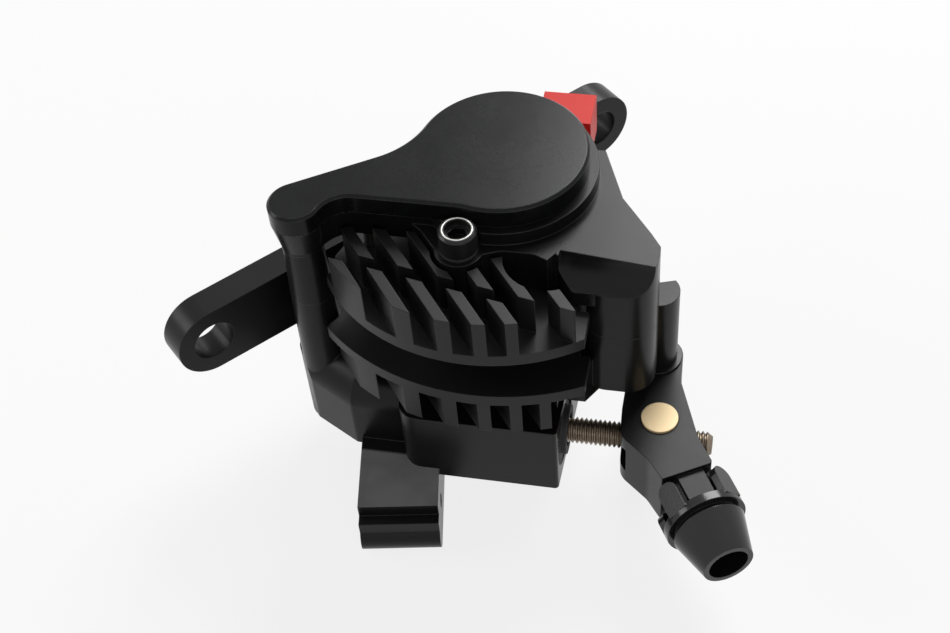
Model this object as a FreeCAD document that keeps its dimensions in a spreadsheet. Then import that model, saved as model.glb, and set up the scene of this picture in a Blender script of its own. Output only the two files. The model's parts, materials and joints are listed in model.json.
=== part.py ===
import FreeCAD, Part
import math
import os
import re

# Disc brake caliper: two body halves around a rotor slot, two pistons, finned pads, and a
# lever that pushes a master piston. Millimetres. The origin is the pad axis at the middle of
# the rotor slot, +Z runs along the wheel axle towards the reservoir cover, +Y towards the hub
# and +X along the rotor's tangent.

os.makedirs("parts", exist_ok=True)
doc = FreeCAD.newDocument("DiscBrakeCaliper")

SIZES = [
    ("rotor_radius", 80.0, "largest rotor that the slot takes"),
    ("rotor_thickness", 1.8, "rotor plate"),
    ("rotor_reach", 8.0, "how far the rotor rim passes the pad axis"),
    ("rim_clearance", 1.5, "from the rotor rim to the back of the slot"),
    ("slot_half", 2.4, "half the height of the machined rotor slot"),
    ("pad_gap", 0.35, "released gap from a lining to the rotor"),
    ("lining_thickness", 2.6, "friction block"),
    ("lining_length", 22.0, "friction block along X"),
    ("lining_width", 15.0, "friction block along Y"),
    ("carrier_thickness", 2.0, "plate of a finned pad"),
    ("carrier_gap", 0.3, "from a pad plate to the body above it"),
    ("upper_rim_radius", 27.5, "upper pad's outer edge"),
    ("upper_rim_x", -0.9, "centre of the upper pad's outer edge"),
    ("upper_rim_y", -0.6, "centre of the upper pad's outer edge"),
    ("lower_rim_radius", 33.9, "lower pad's outer edge"),
    ("lower_rim_x", -0.6, "centre of the lower pad's outer edge"),
    ("lower_rim_y", 6.5, "centre of the lower pad's outer edge"),
    ("pad_left", -24.2, "X of the pads' left corner"),
    ("pad_right", 15.0, "X of the pads' right corner, in front of the right block"),
    ("pad_shoulder_gap", 0.6, "from a pad to the block, the column and the web"),
    ("upper_rib_height", 6.65, "cooling ribs on the upper pad"),
    ("lower_rib_height", 6.1, "cooling ribs under the lower pad"),
    ("rib_thickness", 1.55, "one cooling rib"),
    ("rib_pitch", 3.9, "from rib to rib, across the ribs"),
    ("rib_angle", 38.0, "the ribs run square to this direction"),
    ("rib_shift", -0.5, "from the piston's axis to the middle of the nearest rib's line"),
    ("rib_shortest", 2.2, "shortest rib that is left standing"),
    ("rib_corner_radius", 6.2, "space without ribs in front of the step's corner"),
    ("rib_groove_width", 1.7, "groove across the upper ribs"),
    ("rib_groove_x", -3.5, "middle of the groove across the upper ribs"),
    ("rib_groove_y", -21.3, "middle of the groove across the upper ribs"),
    ("rib_groove_angle", -11.3, "direction of the groove across the upper ribs"),
    ("rib_boss_gap", 0.9, "from the ribs to the piston boss"),
    ("piston_radius", 9.5, "wheel piston"),
    ("piston_height", 4.6, "wheel piston"),
    ("piston_cup_radius", 7.4, "recess in the wheel piston"),
    ("piston_cup_depth", 3.0, "recess in the wheel piston"),
    ("bore_fit", 0.03, "radial running clearance of every piston"),
    ("bore_extra", 0.8, "fluid space behind a wheel piston"),
    ("seal_offset", 1.4, "from the mouth of a wheel bore to its seal"),
    ("seal_height", 1.5, "square seal ring"),
    ("seal_depth", 1.3, "square seal ring"),
    ("seal_slack", 0.05, "space round a seal in its groove"),
    ("boss_radius", 13.8, "round boss over the piston"),
    ("deck_top", 13.0, "top face of the upper half"),
    ("deck_step", 4.5, "radius of the scoop in front of the top face"),
    ("scoop_angle", -6.4, "direction of the scoop, from +X"),
    ("scoop_left", 10.3, "X of the scoop's left end"),
    ("scoop_back", -13.5, "Y of the scoop's back edge at its left end"),
    ("joint_top", 15.2, "face that the cover sits on"),
    ("cover_thickness", 3.3, "reservoir cover"),
    ("cover_radius", 12.5, "the cover's disc"),
    ("cover_chamfer", 0.4, "bevel round the cover's top"),
    ("cover_cavity_depth", 2.0, "air space in the cover"),
    ("reservoir_radius", 10.6, "fluid space under the cover"),
    ("reservoir_depth", 2.6, "fluid space under the cover"),
    ("membrane_radius", 12.0, "rubber diaphragm"),
    ("membrane_thickness", 0.9, "rubber diaphragm"),
    ("neck_angle", 31.5, "direction of the cover's long straight edge"),
    ("neck_front", -12.0, "Y of the cover's short edge beside the disc"),
    ("neck_fillet", 13.0, "sweep from the long edge into the disc"),
    ("neck_front_fillet", 4.5, "sweeps at both ends of the short edge"),
    ("neck_floor", 10.0, "underside of the arm below the cover"),
    ("neck_inset", 0.9, "from the cover's edge to the arm below it"),
    ("column_x", -27.0, "left column and the cover's small end"),
    ("column_y", -14.0, "left column and the cover's small end"),
    ("column_radius", 3.6, "left column at its foot"),
    ("column_mid_radius", 3.25, "left column at the middle of the slot"),
    ("column_top_radius", 2.9, "left column below its head"),
    ("cover_tip_radius", 3.9, "small end of the cover"),
    ("block_left", 14.0, "X of the right block's inner face"),
    ("block_right", 24.0, "X of the right block's outer face"),
    ("block_front", -17.5, "Y of the right block's front face"),
    ("block_back", -8.8, "Y of the right block's back face in the slot"),
    ("block_depth", 12.0, "right block below the middle of the slot"),
    ("block_corner", 1.6, "rounded upright edges at the back of the right block"),
    ("block_left_corner", 3.0, "rounded upright edge at the left front of the right block"),
    ("block_right_corner", 4.0, "rounded upright edge at the right front of the right block"),
    ("wing_cut_x", 22.4, "X of the cut corner at the right block"),
    ("wing_cut_y", -11.2, "Y of the cut corner at the right block"),
    ("wing_middle_x", 17.6, "middle of the wing's slanted edge"),
    ("wing_middle_y", -2.4, "middle of the wing's slanted edge"),
    ("ridge_front", -14.0, "Y of the top face's front edge"),
    ("step_left", 9.6, "X of the scoop's left wall"),
    ("web_left", 11.2, "X of the web below the right block"),
    ("web_bottom", 14.2, "web below the right block, below the slot's middle"),
    ("wing_back_x", 13.9, "X where the wing's slanted edge meets the boss"),
    ("wing_back_y", 7.0, "Y where the wing's slanted edge meets the boss"),
    ("lug_radius", 3.5, "lug under the bleed screw"),
    ("bleed_x", -3.7, "bleed screw"),
    ("bleed_y", -15.0, "bleed screw"),
    ("bleed_head_radius", 2.75, "bleed screw"),
    ("bleed_head_height", 3.4, "bleed screw"),
    ("bleed_rim", 0.35, "bevel round the bleed screw's mouth"),
    ("bleed_bore_radius", 1.85, "mouth of the bleed screw"),
    ("bleed_shank_radius", 1.5, "bleed screw"),
    ("bleed_shank_length", 2.9, "bleed screw"),
    ("bleed_seal_thickness", 0.5, "washer under the bleed screw"),
    ("lower_base", 27.0, "flat underside, below the middle of the slot"),
    ("lower_deck", 12.4, "top of the left foot block, below the slot's middle"),
    ("left_side", -31.0, "X of the left foot block's outer corner"),
    ("left_bend_x", -28.9, "bend in the left foot block's outer face"),
    ("left_bend_y", -17.3, "bend in the left foot block's outer face"),
    ("left_front", -21.4, "Y of the left foot block's front face"),
    ("left_front_x", -21.5, "X where the left foot block's front face starts"),
    ("left_rounding", 5.5, "rounded top edge of the left foot block"),
    ("master_left", -13.2, "X of the master cylinder's closed end"),
    ("master_right", 11.0, "X of the master cylinder's open end"),
    ("master_front", -25.7, "Y of the master cylinder's front face"),
    ("master_back", 6.0, "Y of the block's back face"),
    ("master_top", 13.4, "top of the master cylinder, below the slot's middle"),
    ("master_corner", 3.0, "rounded upright corners of the master cylinder"),
    ("rod_y", -19.4, "Y of the push rod and the master bore"),
    ("rod_drop", 20.1, "push rod below the middle of the slot"),
    ("master_bore_radius", 4.5, "master cylinder bore"),
    ("master_end_wall", 1.8, "closed end of the master bore"),
    ("master_piston_length", 9.6, "master piston"),
    ("master_piston_rear", 7.6, "X of the master piston's rear face"),
    ("cup_thickness", 1.4, "master piston cup seals"),
    ("cup_inner_radius", 2.6, "master piston cup seals"),
    ("rod_socket_radius", 2.7, "socket in the master piston for the rod"),
    ("rod_socket_depth", 2.4, "socket in the master piston for the rod"),
    ("rod_end_gap", 0.3, "rod tip to the bottom of its socket"),
    ("rod_radius", 2.0, "M4 push rod"),
    ("rod_outer_end", 33.4, "X of the push rod's free end"),
    ("rod_end_radius", 1.3, "bevelled free end of the push rod"),
    ("stop_gap", 0.3, "master piston to its stop washer"),
    ("stop_washer_thickness", 0.6, "stop washer"),
    ("stop_washer_hole", 2.9, "radius of the hole in the stop washer"),
    ("ring_thickness", 0.8, "retaining ring"),
    ("ring_depth", 0.6, "retaining ring's groove in the bore"),
    ("boot_radius", 5.5, "dust boot"),
    ("boot_depth", 1.4, "dust boot's seat in the mouth of the bore"),
    ("boot_stand_out", 0.9, "dust boot outside the mouth"),
    ("boot_hole_radius", 2.6, "dust boot's hole for the rod"),
    ("return_wire", 0.35, "radius of the return spring's wire"),
    ("return_coil_radius", 3.2, "return spring"),
    ("pivot_x", 23.6, "lever pivot"),
    ("pivot_y", -7.5, "lever pivot"),
    ("pivot_boss_radius", 3.1, "boss over the lever pivot"),
    ("pivot_boss_drop", 14.6, "boss over the lever pivot, below the slot's middle"),
    ("pivot_radius", 2.0, "pivot bolt"),
    ("pivot_thread_length", 9.5, "pivot bolt in the body"),
    ("pivot_fit", 0.05, "radial running clearance at the pivot and the trunnion"),
    ("bush_radius", 2.7, "pivot bush"),
    ("pivot_washer_thickness", 0.4, "washer between the lever and the body"),
    ("pivot_head_radius", 3.8, "head of the pivot bolt"),
    ("pivot_head_height", 2.4, "head of the pivot bolt"),
    ("torsion_wire", 0.5, "radius of the lever spring's wire"),
    ("torsion_coil_radius", 2.9, "lever spring"),
    ("torsion_turns", 2.0, "lever spring"),
    ("plate_thickness", 2.6, "one plate of the lever's fork"),
    ("fork_gap", 5.0, "between the lever's two plates"),
    ("hub_radius", 3.9, "lever's hub round the pivot"),
    ("trunnion_x", 25.4, "brass trunnion"),
    ("trunnion_radius", 2.75, "brass trunnion"),
    ("trunnion_proud", 0.35, "brass trunnion beyond the lever's plates"),
    ("nose_x", 37.5, "centre of the adjuster's front rim"),
    ("nose_y", -39.7, "centre of the adjuster's front rim"),
    ("adjuster_angle", -60.0, "direction of the adjuster, from +X"),
    ("cone_length", 6.4, "adjuster knob's cone"),
    ("cone_tip_radius", 3.8, "adjuster knob's cone at its rim"),
    ("cone_base_radius", 5.5, "adjuster knob's cone at the collar"),
    ("collar_length", 2.2, "adjuster knob's collar"),
    ("collar_groove_length", 0.9, "groove between the collar and the cone"),
    ("collar_groove_radius", 4.9, "bottom of the groove between the collar and the cone"),
    ("knob_radius", 6.1, "adjuster knob's collar and fingers"),
    ("finger_length", 4.6, "adjuster knob's fingers"),
    ("finger_thickness", 1.15, "adjuster knob's fingers"),
    ("finger_width", 3.3, "adjuster knob's fingers"),
    ("socket_radius", 3.0, "cable housing socket in the knob"),
    ("socket_depth", 4.6, "cable housing socket in the knob"),
    ("barrel_radius", 2.5, "M5 adjuster barrel"),
    ("barrel_hole_radius", 1.0, "cable hole through the barrel"),
    ("barrel_length", 12.0, "adjuster barrel"),
    ("arm_end_gap", 0.4, "lever's round end to the knob's collar"),
    ("arm_end_radius", 4.4, "lever's round end inside the fingers"),
    ("arm_end_flat", 2.0, "half the width of the flats on the lever's round end"),
    ("finger_clearance", 0.4, "fingers to the lever behind them"),
    ("adjuster_wire", 0.35, "radius of the adjuster spring's wire"),
    ("adjuster_coil_radius", 3.2, "adjuster spring"),
    ("adjuster_spring_length", 2.2, "adjuster spring"),
    ("ear_spacing", 74.2, "between the two mounting holes"),
    ("ear_angle", 46.3, "direction of the mounting bar, from +X"),
    ("ear_middle_x", -18.4, "middle of the mounting bar"),
    ("ear_middle_y", 9.6, "middle of the mounting bar"),
    ("ear_drop", 8.5, "mounting holes below the middle of the slot"),
    ("ear_hole_radius", 3.3, "mounting holes"),
    ("ear_radius", 6.0, "round ends of the mounting bar"),
    ("ear_thickness", 4.85, "mounting bar"),
    ("web_width", 28.0, "web from the boss to the mounting bar"),
    ("foot_x", -12.3, "middle of the front edge of the foot's top"),
    ("foot_y", -33.4, "middle of the front edge of the foot's top"),
    ("foot_angle", 10.0, "turn of the foot about Z"),
    ("foot_width", 12.2, "foot"),
    ("foot_length", 18.5, "foot"),
    ("foot_top", 1.5, "foot's top face, above the flat underside"),
    ("foot_thickness", 9.5, "foot"),
    ("foot_step", 2.3, "first step down at the foot's front"),
    ("foot_ledge", 1.7, "ledge below the foot's first step"),
    ("foot_second_step", 2.2, "second step down at the foot's front"),
    ("foot_nose", 0.8, "how far the foot's rounded nose passes the ledge"),
    ("foot_hole_radius", 1.2, "inner cable hole through the foot"),
    ("foot_hole_inset", 4.2, "cable hole from the foot's front"),
    ("clamp_radius", 2.0, "M4 cable clamp screw"),
    ("clamp_length", 3.3, "cable clamp screw"),
    ("bolt_radius", 2.0, "M4 body bolts"),
    ("bolt_fit", 0.05, "space round a body bolt"),
    ("bolt_head_radius", 3.1, "body bolts"),
    ("bolt_head_height", 2.8, "body bolts"),
    ("bolt_seat", 3.2, "depth of a bolt head's recess"),
    ("right_bolt_x", 20.2, "right body bolt"),
    ("right_bolt_y", -13.2, "right body bolt"),
    ("right_bolt_top", 8.0, "right body bolt's tip"),
    ("cover_thread", 2.4, "left body bolt's tip in the cover"),
    ("passage_x", 16.3, "fluid passage between the halves"),
    ("passage_y", -11.4, "fluid passage between the halves"),
    ("passage_radius", 0.9, "fluid passage between the halves"),
    ("ring_seal_radius", 1.4, "passage seal's middle circle"),
    ("ring_seal_wire", 0.45, "passage seal's section"),
    ("pin_x", -18.5, "pad retaining pin"),
    ("pin_y", -8.9, "pad retaining pin"),
    ("pin_radius", 1.0, "pad retaining pin"),
    ("pin_fit", 0.08, "space round the pin in the pads"),
    ("pin_head_radius", 1.9, "pad retaining pin"),
    ("pin_head_height", 1.2, "pad retaining pin"),
    ("pin_bottom", 10.5, "tip of the pin, below the slot's middle"),
    ("spring_sheet", 0.4, "pad spring's sheet"),
    ("spring_blade", 9.5, "pad spring along X"),
    ("spring_width", 3.8, "pad spring along Y"),
    ("spring_bend", 2.6, "outside radius of the pad spring's bends"),
    ("spring_half_height", 3.45, "pad spring"),
    ("spacer_tongue", 1.6, "thickness of the transport spacer's tongue"),
    ("spacer_half_width", 8.5, "transport spacer"),
    ("spacer_grip_start", 21.0, "Y of the transport spacer's grip"),
    ("spacer_grip_length", 6.8, "transport spacer's grip along Y"),
    ("spacer_grip_top", 5.0, "transport spacer's grip"),
    ("spacer_grip_drop", 2.2, "transport spacer's grip"),
    ("spacer_grip_right", 9.6, "X of the grip's right end"),
    ("spacer_grip_left", 1.3, "X of the grip's left end"),
]

sheet = doc.addObject("Spreadsheet::Sheet", "Sizes")
for row, (alias, value, note) in enumerate(SIZES, start=1):
    sheet.set("A%d" % row, alias)
    sheet.set("B%d" % row, str(value))
    sheet.set("C%d" % row, note)
    sheet.setAlias("B%d" % row, alias)
doc.recompute()
ALIASES = {alias for alias, value, note in SIZES}


class Reader:
    """Reads a size of the sheet by its alias."""

    def __getattr__(self, alias):
        return float(sheet.get(alias))


s = Reader()
V = FreeCAD.Vector
UP = V(0, 0, 1)
DOWN = V(0, 0, -1)
RIGHT = V(1, 0, 0)
NODES = []


# Helpers

def bind(thing, prop, text):
    """Bind a property to an expression of the sheet's aliases."""
    words = re.sub(r"[a-z_]+", lambda m: "Sizes." + m.group(0) if m.group(0) in ALIASES else m.group(0), text)
    thing.setExpression(prop, words)


def cylinder(name, radius, height, base, direction=UP):
    thing = doc.addObject("Part::Cylinder", name)
    bind(thing, "Radius", radius)
    bind(thing, "Height", height)
    thing.Placement = FreeCAD.Placement(base, FreeCAD.Rotation(UP, direction))
    return thing


def cone(name, radius_start, radius_end, height, base, direction=UP):
    thing = doc.addObject("Part::Cone", name)
    bind(thing, "Radius1", radius_start)
    bind(thing, "Radius2", radius_end)
    bind(thing, "Height", height)
    thing.Placement = FreeCAD.Placement(base, FreeCAD.Rotation(UP, direction))
    return thing


def box(name, length, width, height, corner, angle=0.0):
    thing = doc.addObject("Part::Box", name)
    bind(thing, "Length", length)
    bind(thing, "Width", width)
    bind(thing, "Height", height)
    thing.Placement = FreeCAD.Placement(corner, FreeCAD.Rotation(UP, angle))
    return thing


def feature(name, shape):
    thing = doc.addObject("Part::Feature", name)
    thing.Shape = shape
    return thing


def fuse(name, things):
    thing = doc.addObject("Part::MultiFuse", name)
    thing.Shapes = things
    thing.Refine = True
    return thing


def cut(name, base, tools):
    """Cut all the tools from a base, one after another."""
    for count, tool in enumerate(tools):
        thing = doc.addObject("Part::Cut", "%s_cut_%d" % (name, count))
        thing.Base = base
        thing.Tool = tool
        base = thing
    return base


def tube(name, outer, inner, height, base, direction=UP):
    outside = cylinder(name + "_outside", outer, height, base, direction)
    inside = cylinder(name + "_inside", inner, height, base, direction)
    return cut(name, outside, [inside])


def node(thing, label):
    """Name a finished piece; its label is its file's name."""
    thing.Label = label
    NODES.append(thing)
    return thing


def arc(centre, radius, start, end):
    """Arc from one angle to another, in degrees, the way that the numbers run."""
    angles = [math.radians(a) for a in (start, (start + end) / 2, end)]
    points = [centre + V(radius * math.cos(a), radius * math.sin(a), 0) for a in angles]
    return Part.Arc(*points).toShape()


def bearing(centre, point):
    """Direction of a point seen from a centre, in degrees."""
    return math.degrees(math.atan2(point.y - centre.y, point.x - centre.x))


def rounded_face(corners):
    """Face of a polygon whose corners (x, y, radius) are rounded."""
    points = [V(x, y, 0) for x, y, radius in corners]
    edges = []
    joints = []
    for i, (x, y, radius) in enumerate(corners):
        before = (points[i - 1] - points[i]).normalize()
        after = (points[(i + 1) % len(points)] - points[i]).normalize()
        if radius <= 0:
            joints.append((points[i], points[i], points[i]))
            continue
        half = before.getAngle(after) / 2
        reach = radius / math.tan(half)
        middle = (before + after).normalize()
        inside = points[i] + middle * (radius / math.sin(half) - radius)
        joints.append((points[i] + before * reach, inside, points[i] + after * reach))
    for i, (start, inside, end) in enumerate(joints):
        previous_end = joints[i - 1][2]
        if (start - previous_end).Length > 1e-6:
            edges.append(Part.LineSegment(previous_end, start).toShape())
        if (end - start).Length > 1e-6:
            edges.append(Part.Arc(start, inside, end).toShape())
    return Part.Face(Part.Wire(Part.__sortEdges__(edges)))


def prism(face, low, high):
    """Upright solid of a flat face between two heights."""
    solid = face.extrude(UP * (high - low))
    solid.translate(UP * low)
    return solid


def sweep_centre(origin, direction, outward, radius, centre, circle, sign):
    """Centre of an arc that touches a line from its outer side and a circle from outside."""
    start = origin + outward * radius - centre
    b = start.dot(direction)
    c = start.dot(start) - (circle + radius) ** 2
    return centre + start + direction * (-b + sign * math.sqrt(b * b - c))


def spring(radius, wire, length, turns, base, direction=UP):
    """Coil whose wire stays between two planes that are length apart."""
    height = length - 2 * wire
    helix = Part.makeLongHelix(height / turns, height, radius)
    section = Part.Wire(Part.makeCircle(wire, V(radius, 0, 0), V(0, 1, 0)))
    coil = Part.Wire(helix).makePipeShell([section], True, True)
    coil.translate(UP * wire)
    coil.Placement = FreeCAD.Placement(base, FreeCAD.Rotation(UP, direction)).multiply(coil.Placement)
    return coil


# Levels and places that several pieces share

O = V(0, 0, 0)
lining_face = s.rotor_thickness / 2 + s.pad_gap
carrier_face = lining_face + s.lining_thickness
carrier_back = carrier_face + s.carrier_thickness
body_face = carrier_back + s.carrier_gap
bore_end = carrier_back + s.piston_height + s.bore_extra
hub = V(0, s.rotor_radius - s.rotor_reach, 0)
column = V(s.column_x, s.column_y, 0)
bleed = V(s.bleed_x, s.bleed_y, 0)
right_bolt = V(s.right_bolt_x, s.right_bolt_y, 0)
passage = V(s.passage_x, s.passage_y, 0)
pin = V(s.pin_x, s.pin_y, 0)
pivot = V(s.pivot_x, s.pivot_y, 0)
rod = V(0, s.rod_y, -s.rod_drop)
trunnion = V(s.trunnion_x, s.rod_y, 0)
cover_top = s.joint_top + s.cover_thickness
ear_along = V(math.cos(math.radians(s.ear_angle)), math.sin(math.radians(s.ear_angle)), 0)
ear_out = V(ear_along.y, -ear_along.x, 0)
ear_middle = V(s.ear_middle_x, s.ear_middle_y, -s.ear_drop)
bleed_top = s.deck_top + s.bleed_seal_thickness + s.bleed_head_height


# Outline of the cover: a disc, a small end, and swept edges between them

def cover_outline():
    disc = s.cover_radius
    tip = s.cover_tip_radius
    slope = math.radians(s.neck_angle)
    along = V(math.cos(slope), math.sin(slope), 0)
    outward = V(-along.y, along.x, 0)
    long_start = column + outward * tip
    upper = sweep_centre(long_start, along, outward, s.neck_fillet, O, disc, -1)
    upper_line_end = upper - outward * s.neck_fillet
    front = V(0, s.neck_front, 0)
    beside_disc = sweep_centre(front, RIGHT, V(0, -1, 0), s.neck_front_fillet, O, disc, -1)
    beside_tip = sweep_centre(front, RIGHT, V(0, -1, 0), s.neck_front_fillet, column, tip, 1)
    disc_start = bearing(O, beside_disc)
    disc_end = bearing(O, upper)
    tip_start = bearing(column, long_start)
    tip_end = bearing(column, beside_tip) + 360
    edges = [
        arc(O, disc, disc_start, disc_end),
        arc(upper, s.neck_fillet, disc_end - 180, bearing(upper, upper_line_end)),
        Part.LineSegment(upper_line_end, long_start).toShape(),
        arc(column, tip, tip_start, tip_end),
        arc(beside_tip, s.neck_front_fillet, tip_end - 180, 90),
        Part.LineSegment(V(beside_tip.x, s.neck_front, 0), V(beside_disc.x, s.neck_front, 0)).toShape(),
        arc(beside_disc, s.neck_front_fillet, 90, disc_start + 180),
    ]
    return Part.Face(Part.Wire(Part.__sortEdges__(edges)))


def rotor_slot(name):
    """Space of the rotor and its clearance, cut from both halves."""
    base = hub + DOWN * s.slot_half
    return cylinder(name, "rotor_radius + rim_clearance", "2 * slot_half", base)


def wing_face(front):
    """Flat face of the wing between the boss and the right block."""
    return rounded_face([
        (0, front, 0),
        (s.block_right, front, s.block_corner / 2),
        (s.block_right, s.wing_cut_y, s.block_corner),
        (s.wing_cut_x, s.block_back, s.block_corner),
        (s.wing_middle_x, s.wing_middle_y, 0),
        (s.wing_back_x, s.wing_back_y, 0),
        (0, s.wing_back_y, 0),
    ])


def block_face():
    """Flat face of the right block."""
    return rounded_face([
        (s.block_left, s.block_front, s.block_left_corner),
        (s.block_right, s.block_front, s.block_right_corner),
        (s.block_right, s.wing_cut_y, s.block_corner / 2),
        (s.wing_cut_x, s.block_back, s.block_corner),
        (s.block_left, s.block_back, s.block_corner),
    ])


def step_face():
    """Flat face below the scoop in front of the top face, with its slanted left edge."""
    return rounded_face([
        (s.step_left, s.ridge_front + 1, 0),
        (s.step_left, s.ridge_front, 0),
        (s.block_left - 1.5, s.block_front + 0.3, 0.6),
        (s.block_left + s.block_left_corner, s.block_front + 0.3, 0),
        (s.block_left + s.block_left_corner, s.ridge_front + 1, 0),
    ])


def deck_face():
    """Flat face of the top deck's front edge beside the lug of the bleed screw."""
    return rounded_face([
        (bleed.x - 7.9, s.neck_front + 3, 0),
        (bleed.x - 7.9, s.neck_front + 1.2, 0),
        (bleed.x - 6.1, s.neck_front - 0.2, 1.5),
        (bleed.x - s.lug_radius + 0.4, bleed.y - 0.9, 0),
        (bleed.x + s.lug_radius - 0.4, bleed.y - 0.9, 0),
        (bleed.x + 5.8, s.ridge_front - 0.7, 3.0),
        (bleed.x + 10.4, s.ridge_front - 0.7, 2.5),
        (s.step_left - 0.8, s.ridge_front - 1.6, 0),
        (s.scoop_left, s.ridge_front + 0.6, 0),
        (s.scoop_left, s.neck_front + 3, 0),
    ])


def edge_cutter(start, end, top, radius):
    """Cutter that rounds the upper edge of an upright face; the solid lies left of start to end."""
    along = (end - start).normalize()
    outward = V(along.y, -along.x, 0)
    corner = start - along * 2 * radius + UP * top
    inner = corner - outward * radius
    lower = corner - UP * radius
    middle = inner - UP * radius + (outward + UP).normalize() * radius
    edges = [Part.Arc(inner, middle, lower).toShape()]
    corners = [lower, lower + outward * 3, corner + outward * 3 + UP, inner + UP, inner]
    for first, second in zip(corners, corners[1:]):
        edges.append(Part.LineSegment(first, second).toShape())
    return Part.Face(Part.Wire(edges)).extrude(along * ((end - start).Length + 4 * radius))


# Upper body half

outline = cover_outline()
neck = outline.makeOffset2D(-s.neck_inset)
scoop_turn = math.radians(s.scoop_angle)
scoop_way = V(math.cos(scoop_turn), math.sin(scoop_turn), 0)
scoop_start = V(s.scoop_left, s.scoop_back, s.deck_top) + V(scoop_way.y, -scoop_way.x, 0) * s.deck_step
upper_right = cut("UpperRight", fuse("UpperRightSolid", [
    feature("UpperWing", prism(wing_face(s.ridge_front), body_face, s.deck_top)),
    feature("UpperBlock", prism(block_face(), 0, s.deck_top)),
    feature("UpperStep", prism(step_face(), body_face, s.deck_top)),
]), [
    cylinder("Scoop", "deck_step", "2 * block_right - scoop_left", scoop_start, scoop_way),
])
upper_solid = fuse("UpperSolid", [
    cylinder("UpperBoss", "boss_radius", "joint_top - %r" % body_face, V(0, 0, body_face)),
    feature("UpperNeck", prism(neck, s.neck_floor, s.joint_top)),
    cone("UpperColumn", "column_mid_radius", "column_top_radius", "neck_floor", column),
    cone("ColumnHead", "column_top_radius", "cover_tip_radius", "joint_top - neck_floor",
         column + UP * s.neck_floor),
    upper_right,
    feature("UpperDeck", prism(deck_face(), body_face, s.deck_top)),
    cylinder("BleedLug", "lug_radius", "deck_top - %r" % body_face, bleed + UP * body_face),
])
upper_groove = tube("UpperGroove", "piston_radius + bore_fit + seal_depth + seal_slack", "piston_radius",
                    "seal_height + 2 * seal_slack", V(0, 0, body_face + s.seal_offset - s.seal_slack))
upper_drilling = passage - O
upper_body = cut("UpperBody", upper_solid, [
    cylinder("UpperBore", "piston_radius + bore_fit", "%r" % (bore_end - body_face + 1), V(0, 0, body_face - 1)),
    upper_groove,
    cylinder("Reservoir", "reservoir_radius", "reservoir_depth + 1", V(0, 0, s.joint_top - s.reservoir_depth)),
    cylinder("MembraneSeat", "membrane_radius + seal_slack", "membrane_thickness + 1",
             V(0, 0, s.joint_top - s.membrane_thickness)),
    cylinder("BleedRecess", "bleed_head_radius + carrier_gap", "joint_top", bleed + UP * s.deck_top),
    cylinder("BleedThread", "bleed_shank_radius + seal_slack", "bleed_shank_length + 1",
             bleed + UP * (s.deck_top - s.bleed_shank_length + s.bleed_seal_thickness - 0.1)),
    cylinder("UpperLeftBoltHole", "bolt_radius + bolt_fit", "joint_top + 1", column),
    cylinder("UpperRightBoltHole", "bolt_radius + bolt_fit", "right_bolt_top + 1", right_bolt),
    cylinder("UpperPassage", "passage_radius", "%r" % (bore_end - s.bore_extra / 2), passage),
    cylinder("UpperDrilling", "passage_radius - passage_radius / 3", "%r" % upper_drilling.Length,
             UP * (bore_end - s.bore_extra), upper_drilling),
    cylinder("UpperPinHole", "pin_radius + pin_fit", "joint_top", pin),
    cylinder("UpperPinSeat", "pin_head_radius + pin_fit", "pin_head_height + 1",
             pin + UP * (s.joint_top - s.pin_head_height)),
    rotor_slot("UpperSlot"),
])
node(upper_body, "upper_body")


# Lower body half

left_corner = V(s.left_side, s.column_y, 0)
left_bend = V(s.left_bend_x, s.left_bend_y, 0)
left_end = V(s.left_front_x, s.left_front, 0)
left_face = rounded_face([
    (left_corner.x, left_corner.y, 1.5),
    (left_bend.x, left_bend.y, 1.5),
    (left_end.x, left_end.y, 1.0),
    (s.master_left + 2 * s.master_corner, s.left_front, 0),
    (s.master_left + 2 * s.master_corner, s.pin_y + s.column_radius, 0),
    (s.left_side, s.pin_y + s.column_radius, 3.0),
])
left_block = prism(left_face, -s.lower_base, -s.lower_deck)
for first, second in [(left_bend, left_end), (left_end, left_end + RIGHT * s.master_corner)]:
    left_block = left_block.cut(edge_cutter(first, second, -s.lower_deck, s.left_rounding))
master_face = rounded_face([
    (s.master_left, s.master_front, s.master_corner),
    (s.master_right, s.master_front, 0.6),
    (s.master_right + 1, s.master_back, 1.0),
    (s.master_left, s.master_back, s.master_corner),
])
bar_start = ear_middle - ear_along * (s.ear_spacing / 2) - ear_out * (s.ear_thickness / 2)
bar_end = ear_middle + ear_along * (s.ear_spacing / 2) - ear_out * (s.ear_thickness / 2)
bar_corner = bar_start + ear_out * s.ear_thickness - UP * s.ear_radius
web_corner = ear_middle - ear_along * (s.web_width / 2)
web_corner.z = -s.lower_deck
web_reach = abs(ear_middle.x * ear_out.x + ear_middle.y * ear_out.y) - s.boss_radius / 2
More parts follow.
